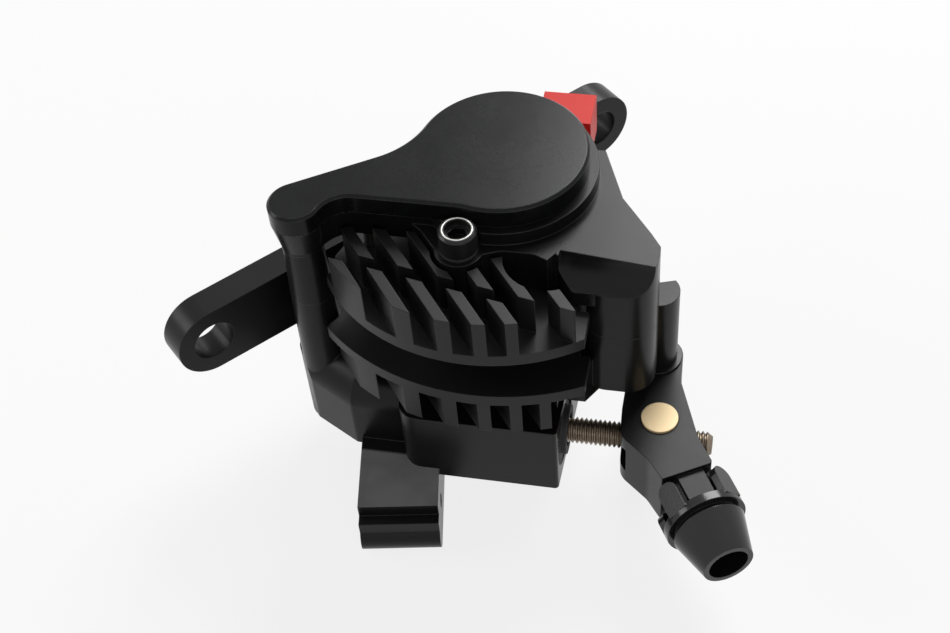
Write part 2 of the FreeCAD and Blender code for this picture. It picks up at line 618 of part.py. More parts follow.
lower_solid = fuse("LowerSolid", [
    cylinder("LowerBoss", "boss_radius", "lower_deck - %r" % body_face, V(0, 0, -s.lower_deck)),
    feature("LowerNeck", prism(neck, -s.lower_deck, -body_face)),
    cone("LowerColumn", "column_radius", "column_mid_radius", "lower_base", column + DOWN * s.lower_base),
    feature("LeftFootBlock", left_block),
    feature("MasterTop", prism(master_face, -s.lower_base, -s.master_top)),
    cylinder("MasterSaddle", "boss_radius - 2 * carrier_thickness", "lower_base - lower_deck",
             V(0, 0, -s.lower_base)),
    feature("LowerWing", prism(wing_face(s.ridge_front), -s.block_depth, -body_face)),
    feature("LowerBlock", prism(block_face(), -s.block_depth, 0)),
    feature("BlockWeb", prism(rounded_face([
        (s.web_left, s.block_front - 0.9, 0),
        (s.block_left + 0.2, s.block_front - 0.9, 0),
        (s.block_left + 2, s.block_front + 2, 0),
        (s.block_left + 2, s.block_back, 0),
        (s.web_left - 3, s.block_back, 0),
        (s.web_left - 3, s.ridge_front + 0.3, 0),
        (s.web_left, s.ridge_front, 0),
    ]), -s.web_bottom, -body_face)),
    cylinder("LowerPivotBoss", "pivot_boss_radius", "pivot_boss_drop", pivot + DOWN * s.pivot_boss_drop),
    box("EarBar", "ear_spacing", "ear_thickness", "2 * ear_radius", bar_corner, s.ear_angle),
    cylinder("LeftEar", "ear_radius", "ear_thickness", bar_start, ear_out),
    cylinder("RightEar", "ear_radius", "ear_thickness", bar_end, ear_out),
    box("EarWeb", "web_width", "%r" % web_reach, "lower_deck - %r" % body_face,
        web_corner + ear_out * web_reach, s.ear_angle),
])
foot_across = V(math.cos(math.radians(s.foot_angle)), math.sin(math.radians(s.foot_angle)), 0)
foot_back = V(-foot_across.y, foot_across.x, 0)
foot_front = V(s.foot_x, s.foot_y, s.foot_top - s.lower_base) - foot_across * (s.foot_width / 2)
nose_top = s.foot_step + s.foot_second_step


def foot_point(forward, drop):
    """Point on the foot's left side, forward of the top's front edge and below its top."""
    return foot_front - foot_back * forward + DOWN * drop


foot_corners = [foot_point(s.foot_ledge, nose_top), foot_point(s.foot_ledge, s.foot_step),
                foot_point(0, s.foot_step), foot_point(0, 0), foot_point(-s.foot_length, 0),
                foot_point(-s.foot_length, s.foot_thickness), foot_point(s.foot_ledge / 2, s.foot_thickness)]
foot_edges = [Part.LineSegment(first, second).toShape() for first, second in zip(foot_corners, foot_corners[1:])]
nose_middle = foot_point(s.foot_ledge + s.foot_nose, (nose_top + s.foot_thickness) / 2)
foot_edges.append(Part.Arc(foot_corners[-1], nose_middle, foot_corners[0]).toShape())
foot_wire = Part.Wire(foot_edges)
foot_solid = Part.Face(foot_wire).extrude(foot_across * s.foot_width)
lower_groove = tube("LowerGroove", "piston_radius + bore_fit + seal_depth + seal_slack", "piston_radius",
                    "seal_height + 2 * seal_slack", V(0, 0, -body_face - s.seal_offset + s.seal_slack), DOWN)
bore_start_x = s.master_left + s.master_end_wall
mouth_x = s.master_right - s.boot_depth
washer_x = s.master_piston_rear + s.stop_gap
ring_x = washer_x + s.stop_washer_thickness
foot_hole = foot_front + foot_back * s.foot_hole_inset + DOWN * (s.foot_thickness / 2)
clamp_base = foot_hole + foot_across * (s.foot_width / 2)
clamp_base.z = foot_front.z - s.foot_thickness
pressure_start = rod + RIGHT * (bore_start_x + 2)
pressure_run = V(0, -s.piston_radius / 2, -bore_end + s.bore_extra / 2) - pressure_start
lower_body = cut("LowerBody", fuse("LowerWithFoot", [lower_solid, feature("Foot", foot_solid)]), [
    cylinder("LowerBore", "piston_radius + bore_fit", "%r" % (bore_end - body_face + 1),
             V(0, 0, -body_face + 1), DOWN),
    lower_groove,
    cylinder("MasterBore", "master_bore_radius", "master_right - %r + 2" % bore_start_x,
             rod + RIGHT * bore_start_x, RIGHT),
    cylinder("RingGroove", "master_bore_radius + ring_depth", "ring_thickness", rod + RIGHT * ring_x, RIGHT),
    cylinder("BootSeat", "boot_radius + seal_slack", "boot_depth + 3", rod + RIGHT * mouth_x, RIGHT),
    cylinder("LowerLeftBoltHole", "bolt_radius + bolt_fit", "lower_base + 1", column + DOWN * s.lower_base),
    cylinder("LeftBoltSeat", "bolt_head_radius + bolt_fit", "bolt_seat + 1",
             column + DOWN * (s.lower_base + 1)),
    cylinder("LowerRightBoltHole", "bolt_radius + bolt_fit", "block_depth + 1", right_bolt + DOWN * s.block_depth),
    cylinder("RightBoltSeat", "bolt_head_radius + bolt_fit", "bolt_seat + 1",
             right_bolt + DOWN * (s.block_depth + 1)),
    cylinder("LowerPassage", "passage_radius", "%r" % (bore_end - s.bore_extra / 2),
             passage + DOWN * (bore_end - s.bore_extra / 2)),
    cylinder("LowerDrilling", "passage_radius - passage_radius / 3", "%r" % upper_drilling.Length,
             DOWN * (bore_end - s.bore_extra), upper_drilling),
    cylinder("PressureDrilling", "passage_radius - passage_radius / 3", "%r" % pressure_run.Length,
             pressure_start, pressure_run),
    cylinder("RingSealSeat", "ring_seal_radius + ring_seal_wire + seal_slack", "2 * ring_seal_wire",
             passage + DOWN * 2 * s.ring_seal_wire),
    cylinder("LowerPinHole", "pin_radius + pin_fit", "pin_bottom + seal_slack", pin + DOWN * (s.pin_bottom + s.seal_slack)),
    cylinder("PivotThread", "pivot_radius + pivot_fit", "pivot_thread_length + 1",
             pivot + DOWN * (s.pivot_boss_drop + 0.5)),
    cylinder("LeftEarHole", "ear_hole_radius", "3 * ear_thickness", bar_start - ear_out * s.ear_thickness, ear_out),
    cylinder("RightEarHole", "ear_hole_radius", "3 * ear_thickness", bar_end - ear_out * s.ear_thickness, ear_out),
    cylinder("FootHole", "foot_hole_radius", "foot_width + 2", foot_hole - foot_across, foot_across),
    cylinder("ClampThread", "clamp_radius + seal_slack", "clamp_length + seal_slack + 1", clamp_base - UP),
    rotor_slot("LowerSlot"),
])
node(lower_body, "lower_body")


# Reservoir cover and diaphragm

cover_solid = prism(outline, s.joint_top, cover_top)
top_edges = [edge for edge in cover_solid.Edges if edge.BoundBox.ZMin > cover_top - 1e-4]
cover_solid = cover_solid.makeChamfer(s.cover_chamfer, top_edges)
cover = cut("Cover", feature("CoverSolid", cover_solid), [
    cylinder("CoverCavity", "reservoir_radius", "cover_cavity_depth + 1", V(0, 0, s.joint_top - 1)),
    cylinder("CoverThread", "bolt_radius + bolt_fit", "cover_thread + 1 + seal_slack",
             column + UP * (s.joint_top - 1)),
])
node(cover, "reservoir_cover")

membrane_base = s.joint_top - s.membrane_thickness
membrane_disc = cylinder("MembraneDisc", "membrane_radius", "membrane_thickness", UP * membrane_base)
membrane = cut("Membrane", membrane_disc, [
    cone("MembraneHollow", "membrane_radius - 2 * membrane_thickness - 1", "membrane_radius - 4 * membrane_thickness",
         "membrane_thickness / 2", UP * (membrane_base - 0.001)),
])
node(membrane, "diaphragm")


# Bleed screw and its washer

head_base = bleed_top - s.bleed_head_height
hexagon = Part.Face(Part.makePolygon([
    bleed + UP * (head_base + 1) + V(math.cos(math.radians(a)), math.sin(math.radians(a)), 0) * s.bleed_bore_radius * 0.8
    for a in range(0, 361, 60)])).extrude(UP * s.bleed_head_height)
bleed_screw = cut("BleedScrew", fuse("BleedSolid", [
    cylinder("BleedHead", "bleed_head_radius", "bleed_head_height - bleed_rim", bleed + UP * head_base),
    cone("BleedRim", "bleed_head_radius", "bleed_head_radius - bleed_rim", "bleed_rim",
         bleed + UP * (bleed_top - s.bleed_rim)),
    cylinder("BleedShank", "bleed_shank_radius", "bleed_shank_length", bleed + UP * (head_base - s.bleed_shank_length)),
]), [
    feature("BleedHexagon", hexagon),
    cylinder("BleedMouth", "bleed_bore_radius", "bleed_head_height / 2", bleed + UP * (bleed_top - s.bleed_head_height / 3)),
])
node(bleed_screw, "bleed_screw")
node(tube("BleedSeal", "bleed_head_radius", "bleed_shank_radius + seal_slack", "bleed_seal_thickness",
          bleed + UP * s.deck_top), "bleed_seal")


# Body bolts and the seal of the passage between the halves

def body_bolt(name, foot, seat, tip):
    """Socket head bolt pointing up, its head's shoulder at seat and its tip at tip."""
    socket = Part.Face(Part.makePolygon([
        foot + UP * (seat - s.bolt_head_height - 0.01)
        + V(math.cos(math.radians(a)), math.sin(math.radians(a)), 0) * (s.bolt_radius * 0.85)
        for a in range(0, 361, 60)])).extrude(UP * s.bolt_head_height * 0.6)
    return cut(name, fuse(name + "Solid", [
        cylinder(name + "Head", "bolt_head_radius", "bolt_head_height", foot + UP * (seat - s.bolt_head_height)),
        cylinder(name + "Shank", "bolt_radius", "%r" % (tip - seat), foot + UP * seat),
    ]), [feature(name + "Socket", socket)])


node(body_bolt("LeftBolt", column, s.bolt_seat - s.lower_base, s.joint_top + s.cover_thread), "body_bolt_left")
node(body_bolt("RightBolt", right_bolt, s.bolt_seat - s.block_depth, s.right_bolt_top), "body_bolt_right")
passage_seal = doc.addObject("Part::Torus", "PassageSeal")
bind(passage_seal, "Radius1", "ring_seal_radius")
bind(passage_seal, "Radius2", "ring_seal_wire - seal_slack / 5")
passage_seal.Placement.Base = passage + DOWN * s.ring_seal_wire
node(passage_seal, "passage_seal")


# Wheel pistons, seals, and finned pads with their linings

def piston(name, side):
    """Cup piston of one side; side is UP or DOWN."""
    return cut(name, cylinder(name + "Solid", "piston_radius", "piston_height", side * carrier_back, side), [
        cylinder(name + "Cup", "piston_cup_radius", "piston_cup_depth + 1", side * (carrier_back - 1), side),
    ])


def piston_seal(name, side):
    return tube(name, "piston_radius + bore_fit + seal_depth", "piston_radius + bore_fit", "seal_height",
                side * (body_face + s.seal_offset), side)


def pad_face(rim, radius):
    """Plate of a finned pad: an arc outside, a shoulder to the pin, and the part over the lining."""
    left = V(s.pad_left, rim.y - math.sqrt(radius ** 2 - (s.pad_left - rim.x) ** 2), 0)
    right = V(s.pad_right, rim.y - math.sqrt(radius ** 2 - (s.pad_right - rim.x) ** 2), 0)
    front = s.block_front - s.pad_shoulder_gap
    beside = s.block_left - s.pad_shoulder_gap
    inner = s.lining_length / 2 + 1
    back = s.lining_width / 2 - 1
    corners = [right, V(right.x, front, 0), V(beside, front, 0), V(beside, s.block_back, 0),
               V(inner, s.block_back + 4, 0), V(inner, back, 0), V(-inner, back, 0), V(-inner, s.pin_y + 4, 0),
               V(s.pin_x - s.spring_bend, s.pin_y + 2.2, 0), left]
    edges = [Part.LineSegment(a, b).toShape() for a, b in zip(corners, corners[1:])]
    edges.append(Part.Arc(left, rim - V(0, radius, 0), right).toShape())
    return Part.Face(Part.Wire(edges))


def ribs(plate, height, upper):
    """Parallel cooling ribs on a pad's plate, clear of everything beside the pad."""
    turn = math.radians(s.rib_angle)
    across = V(math.cos(turn), math.sin(turn), 0)
    along = V(across.y, -across.x, 0)
    gap = s.pad_shoulder_gap
    region = prism(plate, 0, height)
    for shape in [
        prism(outline.makeOffset2D(gap / 3), 0, height),
        Part.makeCylinder(s.boss_radius + s.rib_boss_gap, height),
        Part.makeBox(200, 200, height, V(bleed.x, s.ridge_front - gap, 0)),
        Part.makeBox(100, 200, height, V(s.block_left - gap - 0.5, s.block_front - gap, 0)),
        Part.makeCylinder(s.column_radius + gap, height, column),
    ]:
        region = region.cut(shape)
    if upper:
        reach = 2 * s.upper_rim_radius
        groove = Part.makeBox(2 * reach, s.rib_groove_width, height, V(-reach, -s.rib_groove_width / 2, 0))
        groove.rotate(O, UP, s.rib_groove_angle)
        groove.translate(V(s.rib_groove_x, s.rib_groove_y, 0))
        for shape in [
            groove,
            Part.makeCylinder(s.lug_radius + gap, height, bleed),
            Part.makeCylinder(s.rib_corner_radius, height, V(s.step_left - 1, s.ridge_front - gap, 0)),
            prism(deck_face().makeOffset2D(gap), 0, height),
            prism(step_face().makeOffset2D(gap), 0, height),
        ]:
            region = region.cut(shape)
    else:
        region = region.cut(Part.makeBox(100, 200, height, V(s.web_left - gap, -100, 0)))
    solids = []
    count = int(2 * s.upper_rim_radius / s.rib_pitch) + 1
    for i in range(-count, count):
        bar = Part.makeBox(s.rib_thickness, 200, height)
        bar.Placement = FreeCAD.Placement(O, FreeCAD.Rotation(UP, s.rib_angle))
        bar.Placement.Base = across * (i * s.rib_pitch + s.rib_shift - s.rib_thickness / 2) + along * 100
        for piece in bar.common(region).Solids:
            if piece.Volume > height * s.rib_thickness * s.rib_shortest:
                solids.append(piece)
    return solids


def carrier(name, side, rim, radius, rib_height):
    """Finned pad plate: plate between its two faces, ribs on its outer face."""
    face = pad_face(rim, radius)
    plate = prism(face, carrier_face, carrier_back)
    fins = ribs(face, rib_height + 0.2, side.z > 0)
    for fin in fins:
        fin.translate(UP * (carrier_back - 0.2))
    solid = plate.multiFuse(fins).removeSplitter()
    for clear in [
        Part.makeCylinder(s.pin_radius + s.pin_fit, 4 * s.carrier_thickness, pin + UP * lining_face),
        Part.makeCylinder(s.column_radius + s.pad_shoulder_gap, 30, column),
    ]:
        solid = solid.cut(clear)
    if side.z < 0:
        solid = solid.mirror(O, UP)
    return feature(name, solid)


def lining(name, side):
    corner = V(-s.lining_length / 2, -s.lining_width / 2 - 1, min(side.z * lining_face, side.z * carrier_face))
    block = box(name + "Block", "lining_length", "lining_width", "lining_thickness", corner)
    rounding = doc.addObject("Part::Fillet", name)
    rounding.Base = block
    doc.recompute()
    upright = [i for i, edge in enumerate(block.Shape.Edges, 1) if edge.BoundBox.ZLength > s.lining_thickness / 2]
    rounding.Edges = [(i, 2.5, 2.5) for i in upright]
    return rounding


node(piston("UpperPiston", UP), "upper_piston")
node(piston("LowerPiston", DOWN), "lower_piston")
node(piston_seal("UpperPistonSeal", UP), "upper_piston_seal")
node(piston_seal("LowerPistonSeal", DOWN), "lower_piston_seal")
upper_rim = V(s.upper_rim_x, s.upper_rim_y, 0)
lower_rim = V(s.lower_rim_x, s.lower_rim_y, 0)
node(carrier("UpperCarrier", UP, upper_rim, s.upper_rim_radius, s.upper_rib_height), "upper_pad_carrier")
node(carrier("LowerCarrier", DOWN, lower_rim, s.lower_rim_radius, s.lower_rib_height), "lower_pad_carrier")
node(lining("UpperLining", UP), "upper_pad_lining")
node(lining("LowerLining", DOWN), "lower_pad_lining")


# Pad pin, pad spring and transport spacer

pin_top = s.joint_top - 0.1
node(fuse("PadPin", [
    cylinder("PinShank", "pin_radius", "%r" % (pin_top + s.pin_bottom), pin + DOWN * s.pin_bottom),
    cylinder("PinHead", "pin_head_radius", "pin_head_height - 0.1", pin + UP * (s.joint_top - s.pin_head_height)),
]), "pad_pin")


def spring_profile(inset):
    """U-shaped profile, inside or outside of the pad spring's sheet, in the XZ plane."""
    left = s.pin_x - s.spring_bend + inset
    right = left + s.spring_blade + 5 * inset
    height = s.spring_half_height - inset
    face = rounded_face([(left, -height, s.spring_bend - inset), (right, -height, 0),
                         (right, height, 0), (left, height, s.spring_bend - inset)])
    face.rotate(O, RIGHT, 90)
    return face.extrude(V(0, -s.spring_width - 2 * inset, 0))


spring_outside = spring_profile(0)
spring_inside = spring_profile(s.spring_sheet)
spring_inside.translate(V(0, s.spring_sheet, 0))
pad_spring = spring_outside.cut(spring_inside)
pad_spring.translate(V(0, s.pin_y + s.spring_width / 2, 0))
node(cut("PadSpring", feature("PadSpringSheet", pad_spring), [
    cylinder("SpringPinHole", "pin_radius + pin_fit", "4 * spring_half_height",
             pin + DOWN * 2 * s.spring_half_height),
]), "pad_spring")

spacer = fuse("Spacer", [
    box("SpacerTongue", "2 * spacer_half_width", "spacer_grip_start + rotor_reach", "spacer_tongue",
        V(-s.spacer_half_width, -s.rotor_reach, -s.spacer_tongue / 2)),
    box("SpacerGrip", "spacer_grip_right - spacer_grip_left", "spacer_grip_length",
        "spacer_grip_top + spacer_grip_drop", V(s.spacer_grip_left, s.spacer_grip_start, -s.spacer_grip_drop)),
])
node(spacer, "pad_spacer")


# Master piston, cups, return spring, stop washer, retaining ring and dust boot

piston_front = s.master_piston_rear - s.master_piston_length
rear_cup_x = s.master_piston_rear - 2.2 * s.cup_thickness
master_piston = cut("MasterPiston", cylinder("MasterPistonSolid", "master_bore_radius - bore_fit",
                                             "master_piston_length", rod + RIGHT * piston_front, RIGHT), [
    cylinder("RodSocket", "rod_socket_radius", "rod_socket_depth + 1",
             rod + RIGHT * (s.master_piston_rear - s.rod_socket_depth), RIGHT),
    tube("RearCupGroove", "master_bore_radius + 1", "cup_inner_radius + carrier_gap * 2 + bore_fit", "cup_thickness",
         rod + RIGHT * rear_cup_x, RIGHT),
])
node(master_piston, "master_piston")
node(tube("PrimaryCup", "master_bore_radius - bore_fit", "cup_inner_radius", "cup_thickness",
          rod + RIGHT * (piston_front - s.cup_thickness), RIGHT), "primary_cup")
node(tube("SecondaryCup", "master_bore_radius - bore_fit", "cup_inner_radius + carrier_gap * 2 + bore_fit",
          "cup_thickness", rod + RIGHT * rear_cup_x, RIGHT), "secondary_cup")
spring_start = bore_start_x + 0.1
spring_end = piston_front - s.cup_thickness - 0.1
node(feature("ReturnSpring", spring(s.return_coil_radius, s.return_wire, spring_end - spring_start, 4,
                                    rod + RIGHT * spring_start, RIGHT)), "return_spring")
node(tube("StopWasher", "master_bore_radius - seal_slack", "stop_washer_hole", "stop_washer_thickness",
          rod + RIGHT * washer_x, RIGHT), "stop_washer")
node(tube("RetainingRing", "master_bore_radius + ring_depth - seal_slack", "stop_washer_hole", "ring_thickness",
          rod + RIGHT * ring_x, RIGHT), "retaining_ring")
boot = fuse("Boot", [
    tube("BootRim", "boot_radius", "boot_hole_radius + 1", "boot_depth", rod + RIGHT * mouth_x, RIGHT),
    tube("BootLip", "boot_hole_radius + 1.2", "boot_hole_radius", "boot_depth + boot_stand_out",
         rod + RIGHT * mouth_x, RIGHT),
])
node(boot, "dust_boot")


# Push rod and brass trunnion

rod_tip_x = s.master_piston_rear - s.rod_socket_depth + s.rod_end_gap
push_rod = fuse("PushRod", [
    cylinder("RodShank", "rod_radius", "rod_outer_end - %r" % (rod_tip_x + 2), rod + RIGHT * (rod_tip_x + 1), RIGHT),
    cone("RodBevel", "rod_radius", "rod_end_radius", "1", rod + RIGHT * (s.rod_outer_end - 1), RIGHT),
    cone("RodTip", "rod_radius / 2", "rod_radius", "1", rod + RIGHT * rod_tip_x, RIGHT),
])
node(push_rod, "push_rod")
arm_top = -s.pivot_boss_drop - s.pivot_washer_thickness
arm_height = 2 * s.plate_thickness + s.fork_gap
arm_bottom = arm_top - arm_height
brass = cut("Trunnion", cylinder("TrunnionSolid", "trunnion_radius",
                                 "2 * plate_thickness + fork_gap + 2 * trunnion_proud",
                                 trunnion + UP * (arm_bottom - s.trunnion_proud)), [
    cylinder("TrunnionThread", "rod_radius + bore_fit", "4 * trunnion_radius",
             rod + RIGHT * (s.trunnion_x - 2 * s.trunnion_radius), RIGHT),
])
node(brass, "trunnion")


# Lever arm: a fork of two plates from the pivot to the round end of the adjuster

turn = math.radians(s.adjuster_angle)
aim = V(math.cos(turn), math.sin(turn), 0)
nose = V(s.nose_x, s.nose_y, -s.rod_drop)
collar_front = nose - aim * s.cone_length
collar_back = collar_front - aim * s.collar_length
arm_end = collar_back - aim * s.arm_end_gap
finger_back = collar_back - aim * s.finger_length
side = V(-aim.y, aim.x, 0)
neck_middle = finger_back - aim * (s.finger_clearance + 1.5)
lever_face = rounded_face([
    (s.pivot_x - s.hub_radius, s.pivot_y + s.hub_radius, s.hub_radius - 0.2),
    (s.pivot_x + s.hub_radius, s.pivot_y + s.hub_radius, s.hub_radius - 0.2),
    (s.pivot_x + s.hub_radius + 0.2, s.rod_y + 7.6, 5.0),
    (s.trunnion_x + 5.9, s.rod_y - 2.6, 5.0),
    (neck_middle.x + side.x * 3.6 + aim.x * 1.6, neck_middle.y + side.y * 3.6 + aim.y * 1.6, 0.6),
    (neck_middle.x - side.x * 4.3 + aim.x * 1.8, neck_middle.y - side.y * 4.3 + aim.y * 1.8, 0.6),
    (s.trunnion_x - 0.8, s.rod_y - 7.6, 4.0),
    (s.trunnion_x - 5.4, s.rod_y - 3.8, 3.0),
    (s.pivot_x - s.hub_radius, s.rod_y + 1.0, 4.0),
])
lever_solid = fuse("LeverSolid", [
    feature("LeverBlank", prism(lever_face, arm_bottom, arm_top)),
    cylinder("LeverRoundEnd", "arm_end_radius", "finger_length + finger_clearance + 4",
             arm_end - aim * (s.finger_length + s.finger_clearance + 4), aim),
])
fork_back = s.pivot_y - s.hub_radius - 0.2
fork_end = neck_middle.y + 2.6
finger_room = tube("FingerRoom", "knob_radius + finger_clearance + 3", "arm_end_radius", "finger_length + 8",
                   finger_back - aim * s.finger_clearance, aim)
lever_blank = cut("LeverBlankCut", lever_solid, [
    box("ForkGap", "40", "%r" % (fork_back - fork_end), "fork_gap",
        V(s.pivot_x - 20, fork_end, arm_bottom + s.plate_thickness)),
    finger_room,
])
flats_start = finger_back - aim * (s.finger_clearance + 1) - side * s.arm_end_flat
flats = box("LeverFlats", "%r" % (arm_end - flats_start - side * s.arm_end_flat).Length, "2 * arm_end_flat",
            "2 * arm_end_radius", flats_start + DOWN * s.arm_end_radius, s.adjuster_angle)
lever = cut("Lever", fuse("LeverWithFlats", [lever_blank, flats]), [
    cylinder("BushHole", "bush_radius + pivot_fit", "2 * lower_base", pivot + DOWN * 2 * s.lower_base),
    cylinder("TrunnionHole", "trunnion_radius + pivot_fit", "2 * lower_base", trunnion + DOWN * 2 * s.lower_base),
    cylinder("BarrelHole", "barrel_radius + pivot_fit", "30", arm_end - aim * 20, aim),
    cylinder("AdjusterSpringSeat", "adjuster_coil_radius + adjuster_wire + seal_slack", "adjuster_spring_length",
             arm_end - aim * (s.adjuster_spring_length - s.arm_end_gap + 0.1), aim),
])
node(lever, "lever_arm")


# Pivot: bolt, bush, washer and lever spring

node(tube("PivotBush", "bush_radius", "pivot_radius + bore_fit", "2 * plate_thickness + fork_gap + seal_slack",
          pivot + UP * (arm_bottom - s.seal_slack)), "pivot_bush")
node(tube("PivotWasher", "hub_radius - seal_slack", "pivot_radius + bore_fit", "pivot_washer_thickness - seal_slack",
          pivot + UP * (arm_top + s.seal_slack)), "pivot_washer")
spring_room = 2 * s.torsion_wire * (s.torsion_turns + 1) + 0.2
bolt_shoulder = arm_bottom - s.carrier_gap - spring_room
shoulder_tube = tube("PivotCollar", "pivot_radius + 0.2", "pivot_radius - 0.5", "%r" % (spring_room + s.carrier_gap - s.seal_slack),
                     pivot + UP * bolt_shoulder)
pivot_bolt = cut("PivotBolt", fuse("PivotBoltSolid", [
    cylinder("PivotHead", "pivot_head_radius", "pivot_head_height", pivot + UP * (bolt_shoulder - s.pivot_head_height)),
    cylinder("PivotShank", "pivot_radius", "%r" % (-s.pivot_boss_drop + s.pivot_thread_length - 0.3 - bolt_shoulder),
             pivot + UP * bolt_shoulder),
    shoulder_tube,
]), [
    feature("PivotSocket", Part.Face(Part.makePolygon([
        pivot + UP * (bolt_shoulder - s.pivot_head_height - 0.01)
        + V(math.cos(math.radians(a)), math.sin(math.radians(a)), 0) * 2.0
        for a in range(0, 361, 60)])).extrude(UP * 1.8)),
])
node(pivot_bolt, "pivot_bolt")
node(feature("TorsionSpring", spring(s.torsion_coil_radius, s.torsion_wire, spring_room - 0.1, s.torsion_turns,
                                     pivot + UP * (bolt_shoulder + 0.05))), "lever_spring")


# Barrel adjuster: knob with fingers, barrel and spring

def finger(index):
    """One flat finger of the knob, along its axis from the collar to the lever."""
    round_end = s.finger_width / 2
    bar = Part.makeBox(s.finger_thickness, s.finger_width, s.finger_length + 0.5 - round_end,
                       V(s.knob_radius - s.finger_thickness, -round_end, round_end))
    bar = bar.fuse(Part.makeCylinder(round_end, s.finger_thickness, V(s.knob_radius - s.finger_thickness, 0, round_end),
                                     RIGHT))
    bar.rotate(O, UP, 45 + 90 * index)
    bar.Placement = FreeCAD.Placement(finger_back, FreeCAD.Rotation(RIGHT, UP, aim, "ZXY")).multiply(bar.Placement)
    return feature("Finger_%d" % index, bar)


fingers = []
for index in range(4):
    fingers.append(finger(index))
knob = cut("Knob", fuse("KnobSolid", fingers + [
    cylinder("KnobCollar", "knob_radius", "collar_length", collar_back, aim),
    cone("KnobCone", "cone_base_radius", "cone_tip_radius", "cone_length", collar_front, aim),
]), [
    cylinder("HousingSocket", "socket_radius", "socket_depth + 1", nose - aim * s.socket_depth, aim),
    tube("CollarGroove", "knob_radius + 1", "collar_groove_radius", "collar_groove_length",
         collar_front - aim * s.collar_groove_length, aim),
    cylinder("KnobThread", "barrel_radius + pivot_fit", "cone_length + collar_length + 2", collar_back - aim, aim),
])
node(knob, "adjuster_knob")
barrel_front = nose - aim * (s.socket_depth + 0.2)
node(tube("Barrel", "barrel_radius", "barrel_hole_radius", "barrel_length",
          barrel_front - aim * s.barrel_length, aim), "adjuster_barrel")
node(feature("AdjusterSpring", spring(s.adjuster_coil_radius, s.adjuster_wire, s.adjuster_spring_length - 0.1, 2,
                                      collar_back - aim * (s.adjuster_spring_length - 0.05), aim)),
     "adjuster_spring")


# Cable clamp screw in the foot

clamp_socket = Part.Face(Part.makePolygon([
    clamp_base + DOWN * 0.01 + V(math.cos(math.radians(a)), math.sin(math.radians(a)), 0) * (s.clamp_radius * 0.6)
    for a in range(0, 361, 60)])).extrude(UP * s.clamp_length * 0.6)
node(cut("ClampScrew", cylinder("ClampSolid", "clamp_radius", "clamp_length", clamp_base),
         [feature("ClampSocket", clamp_socket)]), "cable_clamp_screw")


# Check every object, then write one file for each piece

doc.recompute()
problems = []
for thing in doc.Objects:
    if "Invalid" in thing.State or "Error" in thing.State:
        problems.append("%s: %s" % (thing.Label, thing.State))
for thing in NODES:
    if thing.Shape.isNull() or not thing.Shape.isValid():
        problems.append("%s: shape is not valid" % thing.Label)
if problems:
    raise RuntimeError("; ".join(problems))
for thing in NODES:
    shape = thing.Shape
    solids = shape.Solids
    thing_shape = solids[0] if len(solids) == 1 else Part.makeCompound(solids)
    thing_shape.exportStep("parts/%s.step" % thing.Label)
    box_size = thing_shape.BoundBox
    print("%-20s solids %d volume %9.2f  x %7.2f %7.2f  y %7.2f %7.2f  z %7.2f %7.2f" % (
        thing.Label, len(solids), thing_shape.Volume, box_size.XMin, box_size.XMax,
        box_size.YMin, box_size.YMax, box_size.ZMin, box_size.ZMax))
print("nodes", len(NODES))
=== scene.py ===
# %% [markdown]
# # Disc brake caliper
# The object is a two-piece caliper for a bicycle. A lever pushes a small master piston, and two
# wheel pistons press finned pads on a rotor. The solids come from the CAD model and keep their
# places. This lesson gives them their finishes and adds the fine detail that a solid model leaves
# out: the push rod's thread, the bleed screw's bright rim and the rubbed edges.

# %% Load the frame
import json
import math

import bmesh
import bpy
from mathutils import Matrix, Vector


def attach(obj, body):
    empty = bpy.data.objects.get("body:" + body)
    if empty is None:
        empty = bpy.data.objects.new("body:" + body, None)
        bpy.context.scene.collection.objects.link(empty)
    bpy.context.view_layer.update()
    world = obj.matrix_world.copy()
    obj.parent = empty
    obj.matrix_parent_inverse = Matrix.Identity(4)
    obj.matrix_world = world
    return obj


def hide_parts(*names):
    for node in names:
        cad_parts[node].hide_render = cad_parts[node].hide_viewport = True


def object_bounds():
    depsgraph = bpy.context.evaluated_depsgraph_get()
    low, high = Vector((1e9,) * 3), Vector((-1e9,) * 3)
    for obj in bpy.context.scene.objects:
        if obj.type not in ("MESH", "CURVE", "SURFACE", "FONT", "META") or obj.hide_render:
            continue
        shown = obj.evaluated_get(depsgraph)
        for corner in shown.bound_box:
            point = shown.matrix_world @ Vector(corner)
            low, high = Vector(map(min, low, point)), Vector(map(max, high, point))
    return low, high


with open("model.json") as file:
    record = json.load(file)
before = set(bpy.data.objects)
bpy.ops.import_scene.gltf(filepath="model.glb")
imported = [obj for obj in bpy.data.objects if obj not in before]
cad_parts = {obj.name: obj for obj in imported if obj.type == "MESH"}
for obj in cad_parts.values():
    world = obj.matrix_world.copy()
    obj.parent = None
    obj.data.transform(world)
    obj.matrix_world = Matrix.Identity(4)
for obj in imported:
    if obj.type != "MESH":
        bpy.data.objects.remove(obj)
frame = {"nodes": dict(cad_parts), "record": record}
CAD_BOX = [list(corner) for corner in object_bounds()]
MM = 0.001
print("nodes", len(frame["nodes"]), "box in mm", [[round(v / MM, 1) for v in c] for c in CAD_BOX])

# %% [markdown]
# ## Camera
# The photograph is a close view from above the front, a little from the right. A camera near the
# object gives the strong taper from the near end to the far ears, so its distance matters as much
# as its direction. It is made first, because everything later is judged through it.

# %% Camera
AZIMUTH = math.radians(14.9)
ELEVATION = math.radians(49.0)
ROLL = math.radians(5.5)
DISTANCE = 242.5 * MM
TARGET = Vector((-3.93, -8.92, -8.5)) * MM
LENS = 60.63
SENSOR = 36.0
NEAREST = 10 * MM

